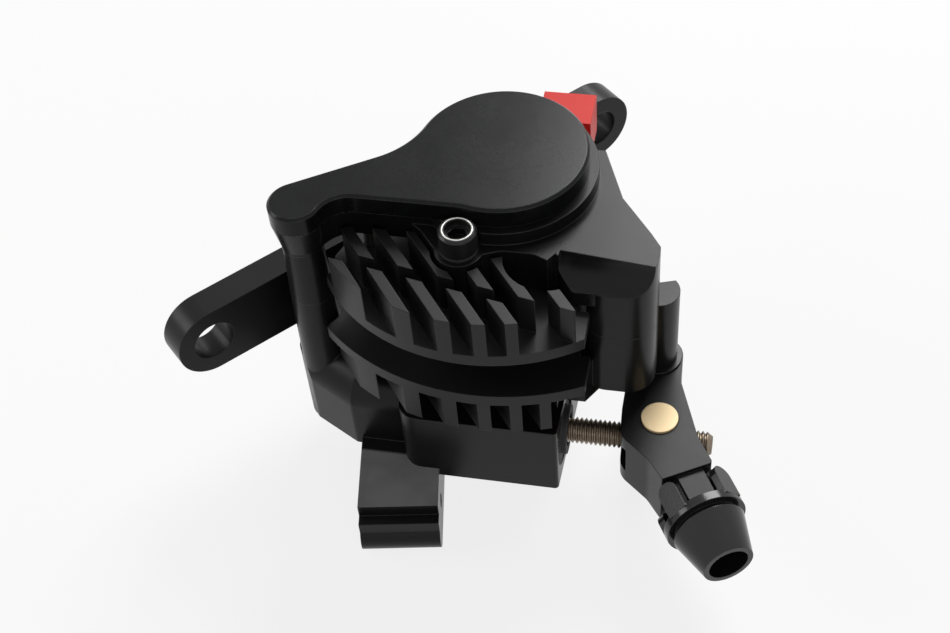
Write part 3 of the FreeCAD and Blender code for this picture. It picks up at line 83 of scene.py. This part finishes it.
toward = Vector((
    math.sin(AZIMUTH) * math.cos(ELEVATION),
    -math.cos(AZIMUTH) * math.cos(ELEVATION),
    math.sin(ELEVATION),
))
camera_data = bpy.data.cameras.new("camera")
camera_data.lens = LENS
camera_data.sensor_width = SENSOR
camera_data.clip_start = NEAREST
camera = bpy.data.objects.new("camera", camera_data)
bpy.context.scene.collection.objects.link(camera)
turn = (-toward).to_track_quat("-Z", "Y").to_matrix().to_4x4()
camera.matrix_world = Matrix.Translation(TARGET + toward * DISTANCE) @ turn @ Matrix.Rotation(-ROLL, 4, "Z")
bpy.context.scene.camera = camera
print("camera at", [round(v / MM, 1) for v in camera.matrix_world.translation])

# %% [markdown]
# ## How colours are shown
# A view transform turns light into the colour of a pixel. The film-like one that Blender starts
# with softens contrast and colour. The plain one shows a colour as it is written, so a finish can
# be judged by its numbers.

# %% View transform
view = bpy.context.scene.view_settings
view.view_transform = "Standard"
print("view transform", view.view_transform)

# %% [markdown]
# ## A short way to write shader maths
# Shader nodes are easy to read as formulas. One small class wraps an output socket and turns
# Python's operators into Math nodes, and one method makes any other node from its type, its
# settings and its inputs. The world, the paper, the finishes and the thread are written with both.

# %% Shader helpers
class Wire:
    """An output socket whose operators add Math nodes."""

    def __init__(self, graph, socket):
        self.graph = graph
        self.socket = socket

    def _math(self, operation, first, second):
        return self.graph.add("ShaderNodeMath", {"operation": operation}, {0: first, 1: second})

    def __add__(self, other):
        return self._math("ADD", self, other)

    def __radd__(self, other):
        return self._math("ADD", other, self)

    def __sub__(self, other):
        return self._math("SUBTRACT", self, other)

    def __rsub__(self, other):
        return self._math("SUBTRACT", other, self)

    def __mul__(self, other):
        return self._math("MULTIPLY", self, other)

    def __truediv__(self, other):
        return self._math("DIVIDE", self, other)

    def lower(self, other):
        return self._math("MINIMUM", self, other)

    def clamp(self):
        return self.graph.add("ShaderNodeClamp", {}, {"Value": self})


class Graph:
    """The node tree of one material, world or geometry group."""

    def __init__(self, tree):
        self.tree = tree
        self.tree.nodes.clear()

    def node(self, kind, settings=None, inputs=None):
        """Add a node. Settings come first, and an input is a number, a tuple or a wire."""
        made = self.tree.nodes.new(kind)
        for name, value in (settings or {}).items():
            setattr(made, name, value)
        for name, value in (inputs or {}).items():
            if isinstance(value, Wire):
                self.tree.links.new(value.socket, made.inputs[name])
            else:
                made.inputs[name].default_value = value
        return made

    def add(self, kind, settings=None, inputs=None, output=0):
        """Add a node and give one of its outputs as a wire."""
        return Wire(self, self.node(kind, settings, inputs).outputs[output])


print("helpers ready")

# %% [markdown]
# ## White background
# The object was shot on white paper. A stronger lamp would whiten the background too, but it
# would bleach the black finish. So the world shows white only to camera, glossy and transmission
# rays, and gives all other rays a dim plain light.

# %% World
PLAIN_SKY = 0.12
WHITE = (1, 1, 1, 1)


def white_rays(graph):
    """One for the rays that show the white background: camera, glossy and transmission rays."""
    path = graph.node("ShaderNodeLightPath")
    kinds = [Wire(graph, path.outputs["Is %s Ray" % kind]) for kind in ("Camera", "Glossy", "Transmission")]
    return (kinds[0] + kinds[1] + kinds[2]).clamp()


world = bpy.data.worlds.new("studio")
world.use_nodes = True
bpy.context.scene.world = world
sky = Graph(world.node_tree)
seen = white_rays(sky)
plain = sky.add("ShaderNodeBackground", {}, {"Color": WHITE, "Strength": PLAIN_SKY})
white = sky.add("ShaderNodeBackground", {}, {"Color": WHITE, "Strength": 1.0})
both = sky.add("ShaderNodeMixShader", {}, {0: seen, 1: plain, 2: white})
sky.node("ShaderNodeOutputWorld", {}, {"Surface": both})
print("world", world.name, "with a plain light of", PLAIN_SKY)

# %% [markdown]
# ## Lamps
# Satin black shows its form by what it mirrors, so the lamps are broad squares and not points.
# The large one stands behind and above, where the flat tops catch it as a grey sheen. Two weaker
# ones lift the left side and the front.

# %% Lamps
def lamp(name, place, aim, size, watts):
    """A soft square lamp at a place in mm that looks at a point in mm."""
    data = bpy.data.lights.new(name, "AREA")
    data.shape = "SQUARE"
    data.size = size * MM
    data.energy = watts
    made = bpy.data.objects.new(name, data)
    bpy.context.scene.collection.objects.link(made)
    place = Vector(place) * MM
    look = (Vector(aim) * MM - place).to_track_quat("-Z", "Y").to_matrix().to_4x4()
    made.matrix_world = Matrix.Translation(place) @ look
    return made


lamps = [
    lamp("lamp_back", (95, 380, 400), (0, 0, 0), 300, 3.4),
    lamp("lamp_left", (-330, -60, 180), (0, 0, 0), 160, 0.35),
    lamp("lamp_front", (160, -330, 160), (0, -10, 0), 160, 0.2),
]
print("lamps", [made.name for made in lamps])

# %% [markdown]
# ## Floor
# The paper is a wide plane at the object's lowest point. A glow alone would hide the soft shadow,
# so the material mixes a glow with a plain diffuse white: the diffuse part takes the shadow, and
# the glow keeps the paper bright. Only the rays that see the white background see the glow, so
# it shows in reflections and doesn't light the dull faces.

# %% Floor
PAPER_SIZE = 3000 * MM
PAPER_GLOW = 0.82
PAPER_GREY = (0.8, 0.8, 0.8, 1)

floor_height = CAD_BOX[0][2]
bpy.ops.mesh.primitive_plane_add(size=PAPER_SIZE, location=(0, 0, floor_height))
floor = bpy.context.active_object
floor.name = "floor"
paper = bpy.data.materials.new("floor_paper")
paper.use_nodes = True
sheet = Graph(paper.node_tree)
seen = white_rays(sheet)
diffuse = sheet.add("ShaderNodeBsdfDiffuse", {}, {"Color": PAPER_GREY})
glow = sheet.add("ShaderNodeEmission", {}, {"Color": WHITE, "Strength": 1.0})
both = sheet.add("ShaderNodeMixShader", {}, {0: seen * PAPER_GLOW, 1: diffuse, 2: glow})
sheet.node("ShaderNodeOutputMaterial", {}, {"Surface": both})
floor.data.materials.append(paper)
print("floor at", round(floor_height / MM, 2), "mm")

# %% [markdown]
# ## Patterns for the finishes
# Nearly everything is black anodised aluminium: dark, satin, with a soft sheen that turns grey
# where it faces the lamps. It is not a flat black. Machining leaves a faint grain, handling
# leaves lighter rubbed edges, and dust changes the roughness. Painted pictures could show that,
# but noise needs no unwrapping and keeps its scale from piece to piece.

# %% Patterns
def start(name):
    """A new material, its empty graph and the object's own coordinates."""
    made = bpy.data.materials.new(name)
    made.use_nodes = True
    graph = Graph(made.node_tree)
    place = graph.add("ShaderNodeTexCoord", {}, {}, "Object")
    return made, graph, place


def noise(graph, place, scale, detail, stretch=(1, 1, 1)):
    """Noise whose scale is in features per millimetre."""
    moved = graph.add("ShaderNodeMapping", {}, {"Vector": place, "Scale": stretch})
    return graph.add("ShaderNodeTexNoise", {}, {
        "Vector": moved, "Scale": scale / MM, "Detail": detail, "Roughness": 0.5})


def spread(graph, value, low, high, out_low=0.0, out_high=1.0):
    """Map a range of a value to another range, held at both ends."""
    return graph.add("ShaderNodeMapRange", {}, {
        "Value": value, "From Min": low, "From Max": high, "To Min": out_low, "To Max": out_high})


def blend_colour(graph, amount, first, second):
    """Mix two colours; each is a tuple or a wire."""
    first, second = (
        colour if isinstance(colour, Wire) else (*colour, 1.0) for colour in (first, second))
    return graph.add("ShaderNodeMix", {"data_type": "RGBA"}, {0: amount, 6: first, 7: second}, 2)


print("patterns ready")

# %% [markdown]
# ## Rubbed edges
# A black edge loses its colour first. Bevelled geometry would need clean loops of edges, which
# these solids' meshes don't have, so a Bevel node rounds the normals inside the shader. Where the
# rounded normal leans away from the face's own there is an edge, and the lean makes the mask.

# %% Edge mask
# One less the cosine of the lean at which wear begins, about 11 degrees, and is full, about 49.
WEAR_STARTS, WEAR_FULL = 0.02, 0.35
BEVEL_SAMPLES = 6


def flat_normal(graph):
    """The face's own normal."""
    return graph.add("ShaderNodeNewGeometry", {}, {}, "True Normal")


def edge_mask(graph, width):
    """One on a rubbed edge and nought on a flat face, and the rounded normal."""
    rounded = graph.add("ShaderNodeBevel", {"samples": BEVEL_SAMPLES}, {"Radius": width * MM})
    alike = graph.add("ShaderNodeVectorMath", {"operation": "DOT_PRODUCT"}, {
        0: rounded, 1: flat_normal(graph)}, "Value")
    return spread(graph, 1.0 - alike, WEAR_STARTS, WEAR_FULL), rounded


print("edge mask ready")

# %% [markdown]
# ## The foot's light face
# The level face on top of the foot, at the front of the lower body, looks much lighter than the
# black around it. Whether light or finish does that on the real object isn't known, and a lighter
# colour stands in for both. The face is part of a larger solid, whose mesh is left alone, so it
# gets no material of its own. A mask picks it out by its height, a line across the object and its
# upward normal.

# %% Foot face
FOOT_HEIGHT = -25.5
FOOT_LINE = -24.0
FOOT_GREY = (0.26, 0.26, 0.26)
# The mask is full this near to the foot's height, and nought past the second distance.
FOOT_CORE, FOOT_REACH = 0.1, 0.2
# How far behind the line the mask fades out.
FOOT_FADE = 0.5
# How upright the face's normal is where the mask begins and where it is full.
FOOT_UPRIGHT = (0.8, 0.95)
# The clouds between the first two values weaken the mask to the third or leave it at the fourth.
FOOT_PATCHES = (0.3, 0.6, 0.7, 1.0)


def foot_mask(graph, place, clouds):
    """One on the level face at the foot's height in front of its line, nought elsewhere."""
    spot = graph.node("ShaderNodeSeparateXYZ", {}, {"Vector": place})
    height = Wire(graph, spot.outputs["Z"])
    above = spread(graph, height, (FOOT_HEIGHT - FOOT_REACH) * MM, (FOOT_HEIGHT - FOOT_CORE) * MM)
    below = spread(graph, height, (FOOT_HEIGHT + FOOT_REACH) * MM, (FOOT_HEIGHT + FOOT_CORE) * MM)
    ahead = spread(graph, Wire(graph, spot.outputs["Y"]), (FOOT_LINE + FOOT_FADE) * MM, FOOT_LINE * MM)
    facing = graph.add("ShaderNodeSeparateXYZ", {}, {"Vector": flat_normal(graph)}, "Z")
    upward = spread(graph, facing, *FOOT_UPRIGHT)
    patchy = spread(graph, clouds, *FOOT_PATCHES)
    return above * below * ahead * upward * patchy


print("foot face at", FOOT_HEIGHT, "mm")

# %% [markdown]
# ## One recipe for every finish
# Three noises of different scale do the work. Wide clouds change the tone and decide where an
# edge is rubbed, a fine grain lifts the surface, and specks between the two break up the shine.
# Each finish is the same recipe with its own numbers, so the pieces look like one family.

# %% Recipe
# Features per millimetre of each noise, and its levels of detail.
CLOUD_SCALE, CLOUD_DETAIL = 0.12, 4.0
SPECK_SCALE, SPECK_DETAIL = 1.6, 2.0
GRAIN_SCALE, GRAIN_DETAIL = 3.0, 2.0
# How far each noise moves the roughness.
CLOUD_ROUGH, SPECK_ROUGH, GRAIN_ROUGH = 0.10, 0.06, 0.05
# The shares of clouds and grain in the tone, and the range of their sum from dark to light.
CLOUD_TONE, GRAIN_TONE = 0.6, 0.4
TONE_RANGE = (0.35, 0.65)
# The range of the clouds over which an edge goes from least to most rubbed.
WEAR_RANGE = (0.35, 0.62)
# An edge colour that isn't given is the finish's own, times the first and plus the second.
RUBBED_GAIN, RUBBED_LIFT = 3, 0.1


def worn_finish(name, colour, roughness, metallic, grain_depth, grain=(1, 1, 1), edge_colour=None,
                edge_amount=0.5, edge_width=0.25, edge_even=0.0, cloud=0.12, shine=0.5, light_foot=False):
    """A surface with grain, cloudy roughness and rubbed edges.

    grain_depth and edge_width are in mm. edge_even is how much of the wear goes all along an edge.
    cloud is how far the tone varies, and shine is the strength of a black finish's reflections.
    """
    made, graph, place = start(name)
    clouds = noise(graph, place, CLOUD_SCALE, CLOUD_DETAIL)
    fine = noise(graph, place, GRAIN_SCALE, GRAIN_DETAIL, grain)
    specks = noise(graph, place, SPECK_SCALE, SPECK_DETAIL)
    edges, normal = edge_mask(graph, edge_width)
    patchy = spread(graph, clouds, *WEAR_RANGE, edge_even, 1.0)
    worn = edges * patchy * edge_amount
    light = tuple(min(1.0, part * (1 + cloud)) for part in colour)
    dark = tuple(part * (1 - cloud) for part in colour)
    tone = spread(graph, clouds * CLOUD_TONE + fine * GRAIN_TONE, *TONE_RANGE)
    base = blend_colour(graph, tone, dark, light)
    rubbed_colour = edge_colour or tuple(min(1.0, part * RUBBED_GAIN + RUBBED_LIFT) for part in colour)
    shown = blend_colour(graph, worn, base, rubbed_colour)
    if light_foot:
        shown = blend_colour(graph, foot_mask(graph, place, clouds), shown, FOOT_GREY)
    rough = (roughness + (clouds - 0.5) * CLOUD_ROUGH + (specks - 0.5) * SPECK_ROUGH
             + (fine - 0.5) * GRAIN_ROUGH)
    bump = graph.add("ShaderNodeBump", {}, {
        "Strength": 1.0, "Distance": grain_depth * MM, "Height": fine, "Normal": normal})
    surface = graph.add("ShaderNodeBsdfPrincipled", {}, {
        "Base Color": shown, "Roughness": rough.clamp(), "Metallic": metallic, "Normal": bump,
        "Specular IOR Level": shine})
    graph.node("ShaderNodeOutputMaterial", {}, {"Surface": surface})
    return made


print("recipe ready")

# %% [markdown]
# ## The caliper's finishes
# The two halves of the body are a deep satin black, the cover is smoother with brighter edges,
# and the finned pads are duller. The lever and the knob have blacks of their own. Screws are
# steel, bright or blackened, the lever's trunnion is brass, the spacer between the pads is red
# plastic, and the pads' linings are rough and brown. The brass is written as mostly non-metal,
# because a full metal burns out under the large lamp. Each finish could have a cell of its own,
# but in one table their numbers can be compared.

# %% Table of finishes
FINISHES = {
    "body_black": worn_finish(
        "body_black_satin", (0.008, 0.008, 0.0079), 0.3, 0.0, 0.004, edge_colour=(0.13, 0.128, 0.125),
        edge_amount=0.7, edge_width=0.2, edge_even=0.2, shine=0.17, light_foot=True),
    "cover_black": worn_finish(
        "cover_black_satin", (0.006, 0.0063, 0.007), 0.22, 0.0, 0.002, edge_colour=(0.24, 0.24, 0.24),
        edge_amount=0.9, edge_width=0.25, edge_even=0.5, shine=0.15),
    "fin_black": worn_finish(
        "fin_black_cast", (0.009, 0.009, 0.009), 0.42, 0.0, 0.006, edge_colour=(0.10, 0.10, 0.10),
        edge_width=0.15, edge_even=0.3, shine=0.22),
    "lever_black": worn_finish(
        "lever_black_satin", (0.009, 0.009, 0.0093), 0.34, 0.0, 0.003, edge_colour=(0.12, 0.12, 0.12),
        edge_width=0.15, shine=0.18),
    "knob_black": worn_finish(
        "knob_black_gloss", (0.012, 0.012, 0.0118), 0.18, 0.0, 0.002, edge_colour=(0.12, 0.12, 0.12),
        edge_width=0.12, shine=0.35),
    "steel": worn_finish("bright_steel", (0.50, 0.49, 0.47), 0.3, 1.0, 0.002, grain=(1, 1, 8)),
    "rod_steel": worn_finish("rod_steel", (0.22, 0.18, 0.14), 0.35, 1.0, 0.002),
    "black_steel": worn_finish(
        "black_steel", (0.015, 0.015, 0.015), 0.3, 0.0, 0.002, edge_colour=(0.10, 0.10, 0.10),
        edge_amount=0.6, edge_width=0.15, shine=0.25),
    "brass": worn_finish(
        "turned_brass", (0.78, 0.60, 0.34), 0.45, 0.2, 0.0015, edge_colour=(0.6, 0.48, 0.3), cloud=0.04),
    "piston_alloy": worn_finish("turned_alloy", (0.6, 0.6, 0.6), 0.35, 1.0, 0.002),
    "lining_brown": worn_finish(
        "lining_compound", (0.06, 0.045, 0.035), 0.85, 0.0, 0.05, edge_colour=(0.1, 0.08, 0.07)),
    "spacer_red": worn_finish(
        "spacer_red_plastic", (0.60, 0.018, 0.012), 0.42, 0.0, 0.002, edge_colour=(0.75, 0.10, 0.06),
        cloud=0.05, shine=0.18),
    "rubber": worn_finish("black_rubber", (0.012, 0.012, 0.012), 0.7, 0.0, 0.004),
}
print("finishes", list(FINISHES))

# %% [markdown]
# ## Dressing the solids
# The record that came with the solids says which finish each of them has, by the name of a slot.
# Reading it there keeps one list instead of two. The meshes themselves are left alone.

# %% Dress the solids
slots = {row["node"]: row["material_slot"] for row in frame["record"]["subparts"]}
for name, solid in frame["nodes"].items():
    solid.data.materials.clear()
    solid.data.materials.append(FINISHES[slots[name]])
print("dressed", len(frame["nodes"]), "solids")

# %% [markdown]
# ## The push rod's thread
# The rod is taken as a length of M4 stud, and its thread is what catches the light between the
# block and the lever. A lathe would cut one V groove along a helix. Here one grid is rolled round
# the rod's axis, and the radius of each point follows the distance to the nearest crest, so the
# thread is a single closed skin. It lies where the plain rod of the CAD model lies, so its place,
# length and outer radius are read from that solid.

# %% Sizes of the rod
def node_box(name):
    """The low and the high corner of a solid's box in mm, to a hundredth."""
    places = [vertex.co / MM for vertex in frame["nodes"][name].data.vertices]
    return [[round(pick(place[axis] for place in places), 2) for axis in range(3)] for pick in (min, max)]


rod_low, rod_high = node_box("push_rod")
ROD_START = Vector((rod_low[0], (rod_low[1] + rod_high[1]) / 2, (rod_low[2] + rod_high[2]) / 2))
ROD_SIZES = {
    "Length": rod_high[0] - rod_low[0],
    "Pitch": 0.7,
    "Crest radius": (rod_high[1] - rod_low[1]) / 2,
    "Root radius": 1.6,
    "Left tip": 1.0,
    "Right tip": 1.3,
}
print("rod", {name: round(value, 2) for name, value in ROD_SIZES.items()})

# %% [markdown]
# ## Rolling the grid
# Geometry Nodes do the rolling, because the pitch, the radii and the tips then stay plain numbers
# that can be changed. The grid's X becomes the way along the rod, and its Y the way round. One
# pitch further along or one turn round is the same place on the groove, which makes the helix.

# %% Thread group
# The grid's points along the rod and round it.
ROWS, COLUMNS = 340, 41
# The short run at each end, in mm, where the radius closes to nought and makes a flat end.
CAP = 0.04
# Where the flat bottom ends and the flat crest begins, in pitches from the groove's middle.
ROOT_FLAT, CREST_FLAT = 0.06, 0.44
# Whole turns that are added, so that the value that is folded never falls below nought.
SPARE_TURNS = 60.0
# Points closer than this, in mm, become one.
WELD = 0.0005


def group_input(tree, name, kind):
    """Add a named input to a geometry group and return its identifier."""
    return tree.interface.new_socket(name=name, in_out="INPUT", socket_type=kind).identifier


def thread_group():
    """A group that makes a threaded rod along X in mm, and the identifiers of its inputs."""
    tree = bpy.data.node_groups.new("threaded_rod", "GeometryNodeTree")
    graph = Graph(tree)
    sockets = {name: group_input(tree, name, "NodeSocketFloat") for name in ROD_SIZES}
    sockets["Finish"] = group_input(tree, "Finish", "NodeSocketMaterial")
    tree.interface.new_socket(name="Geometry", in_out="OUTPUT", socket_type="NodeSocketGeometry")
    given = graph.node("NodeGroupInput")
    length, pitch, crest, root, left, right, finish = (Wire(graph, given.outputs[name]) for name in sockets)
    grid = graph.add("GeometryNodeMeshGrid", {}, {
        "Size X": 1.0, "Size Y": 1.0, "Vertices X": ROWS, "Vertices Y": COLUMNS}, "Mesh")
    spot = graph.add("GeometryNodeInputPosition")
    parts = graph.node("ShaderNodeSeparateXYZ", {}, {"Vector": spot})
    along = Wire(graph, parts.outputs["X"]) + 0.5
    turns = Wire(graph, parts.outputs["Y"]) + 0.5
    run = along * (length + 2 * CAP)
    place = graph.add("ShaderNodeClamp", {}, {"Value": run - CAP, "Min": 0.0, "Max": length})
    folded = graph.add("ShaderNodeMath", {"operation": "PINGPONG"}, {
        0: place / pitch - turns + SPARE_TURNS, 1: 0.5})
    groove = spread(graph, folded, ROOT_FLAT, CREST_FLAT)
    radius = root + (crest - root) * groove
    # Each tip widens to the crest's radius over one millimetre.
    left_limit = left + place * (crest - left)
    right_limit = right + (length - place) * (crest - right)
    radius = radius.lower(left_limit).lower(right_limit)
    closed = (run * (1.0 / CAP)).lower((length + 2 * CAP - run) * (1.0 / CAP)).clamp()
    radius = radius * closed
    angle = turns * (2 * math.pi)
    rolled = graph.add("ShaderNodeCombineXYZ", {}, {
        "X": place,
        "Y": radius * graph.add("ShaderNodeMath", {"operation": "COSINE"}, {0: angle}),
        "Z": radius * graph.add("ShaderNodeMath", {"operation": "SINE"}, {0: angle})})
    skin = graph.add("GeometryNodeSetPosition", {}, {"Geometry": grid, "Position": rolled})
    welded = graph.add("GeometryNodeMergeByDistance", {}, {"Geometry": skin, "Distance": WELD})
    real = graph.add("GeometryNodeRealizeInstances", {}, {"Geometry": welded})
    dressed = graph.add("GeometryNodeSetMaterial", {}, {"Geometry": real, "Material": finish})
    graph.node("NodeGroupOutput", {}, {"Geometry": dressed})
    return tree, sockets


rod_group, rod_sockets = thread_group()
print("group", rod_group.name, "with", len(rod_group.nodes), "nodes")

# %% [markdown]
# ## From the group to a plain mesh
# The rod has to leave Blender as an ordinary mesh. So the group is evaluated once, its result is
# moved to its place in metres, and the modifier goes. The normals are worked out again, because
# rolling a grid can leave its faces looking inwards.

# %% Make the rod
def plain_mesh(name, group, sockets, values, move):
    """Evaluate a geometry group once and keep the result as an ordinary mesh in metres."""
    holder = bpy.data.objects.new(name, bpy.data.meshes.new(name + "_holder"))
    bpy.context.scene.collection.objects.link(holder)
    modifier = holder.modifiers.new("make", "NODES")
    modifier.node_group = group
    for key, value in values.items():
        modifier[sockets[key]] = value
    evaluated = bpy.context.evaluated_depsgraph_get()
    mesh = bpy.data.meshes.new_from_object(holder.evaluated_get(evaluated), depsgraph=evaluated)
    holder.modifiers.remove(modifier)
    mesh.transform(Matrix.Scale(MM, 4) @ Matrix.Translation(move))
    skin = bmesh.new()
    skin.from_mesh(mesh)
    bmesh.ops.recalc_face_normals(skin, faces=skin.faces)
    open_edges = sum(1 for edge in skin.edges if len(edge.link_faces) != 2)
    skin.to_mesh(mesh)
    skin.free()
    mesh.name = name
    holder.data = mesh
    print(name, len(mesh.polygons), "faces,", open_edges, "open edges")
    return holder


rod = plain_mesh("push_rod_thread", rod_group, rod_sockets,
                 {**ROD_SIZES, "Finish": FINISHES["rod_steel"]}, ROD_START)
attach(rod, "link")
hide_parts("push_rod")

# %% [markdown]
# ## The bleed screw's bright ring
# The black screw has one bright place, a thin ring of bare metal round its socket, where a
# fitting would rub. A ring is a profile turned about an axis. Four points are enough for it,
# since a flat ring with a small bevel is all that the eye sees.

# %% Ring on the bleed screw
RIM_INNER, RIM_OUTER = 1.98, 2.28
RIM_HALF = 0.05


def turned(name, profile, centre, finish, body, sides=64):
    """Turn a closed profile of (radius, height) points about a line along Z; all in mm."""
    skin = bmesh.new()
    rows = []
    for step in range(sides):
        angle = 2 * math.pi * step / sides
        rows.append([skin.verts.new((Vector((
            centre[0] + radius * math.cos(angle), centre[1] + radius * math.sin(angle), height))) * MM)
            for radius, height in profile])
    for step in range(sides):
        here, beside = rows[step], rows[(step + 1) % sides]
        for corner in range(len(profile)):
            follow = (corner + 1) % len(profile)
            skin.faces.new((here[corner], here[follow], beside[follow], beside[corner]))
    bmesh.ops.recalc_face_normals(skin, faces=skin.faces)
    mesh = bpy.data.meshes.new(name)
    skin.to_mesh(mesh)
    skin.free()
    made = bpy.data.objects.new(name, mesh)
    bpy.context.scene.collection.objects.link(made)
    mesh.materials.append(finish)
    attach(made, body)
    return made


screw_low, screw_high = node_box("bleed_screw")
screw_centre = ((screw_low[0] + screw_high[0]) / 2, (screw_low[1] + screw_high[1]) / 2)
screw_top = screw_high[2]
rim_profile = [
    (RIM_INNER, screw_top - RIM_HALF), (RIM_OUTER, screw_top - RIM_HALF),
    (RIM_OUTER - RIM_HALF, screw_top + RIM_HALF), (RIM_INNER + RIM_HALF, screw_top + RIM_HALF)]
ring = turned("bleed_screw_rim", rim_profile, screw_centre, FINISHES["steel"], "frame")
print("turned", ring.name, "at", [round(value, 2) for value in screw_centre], "top", screw_top)
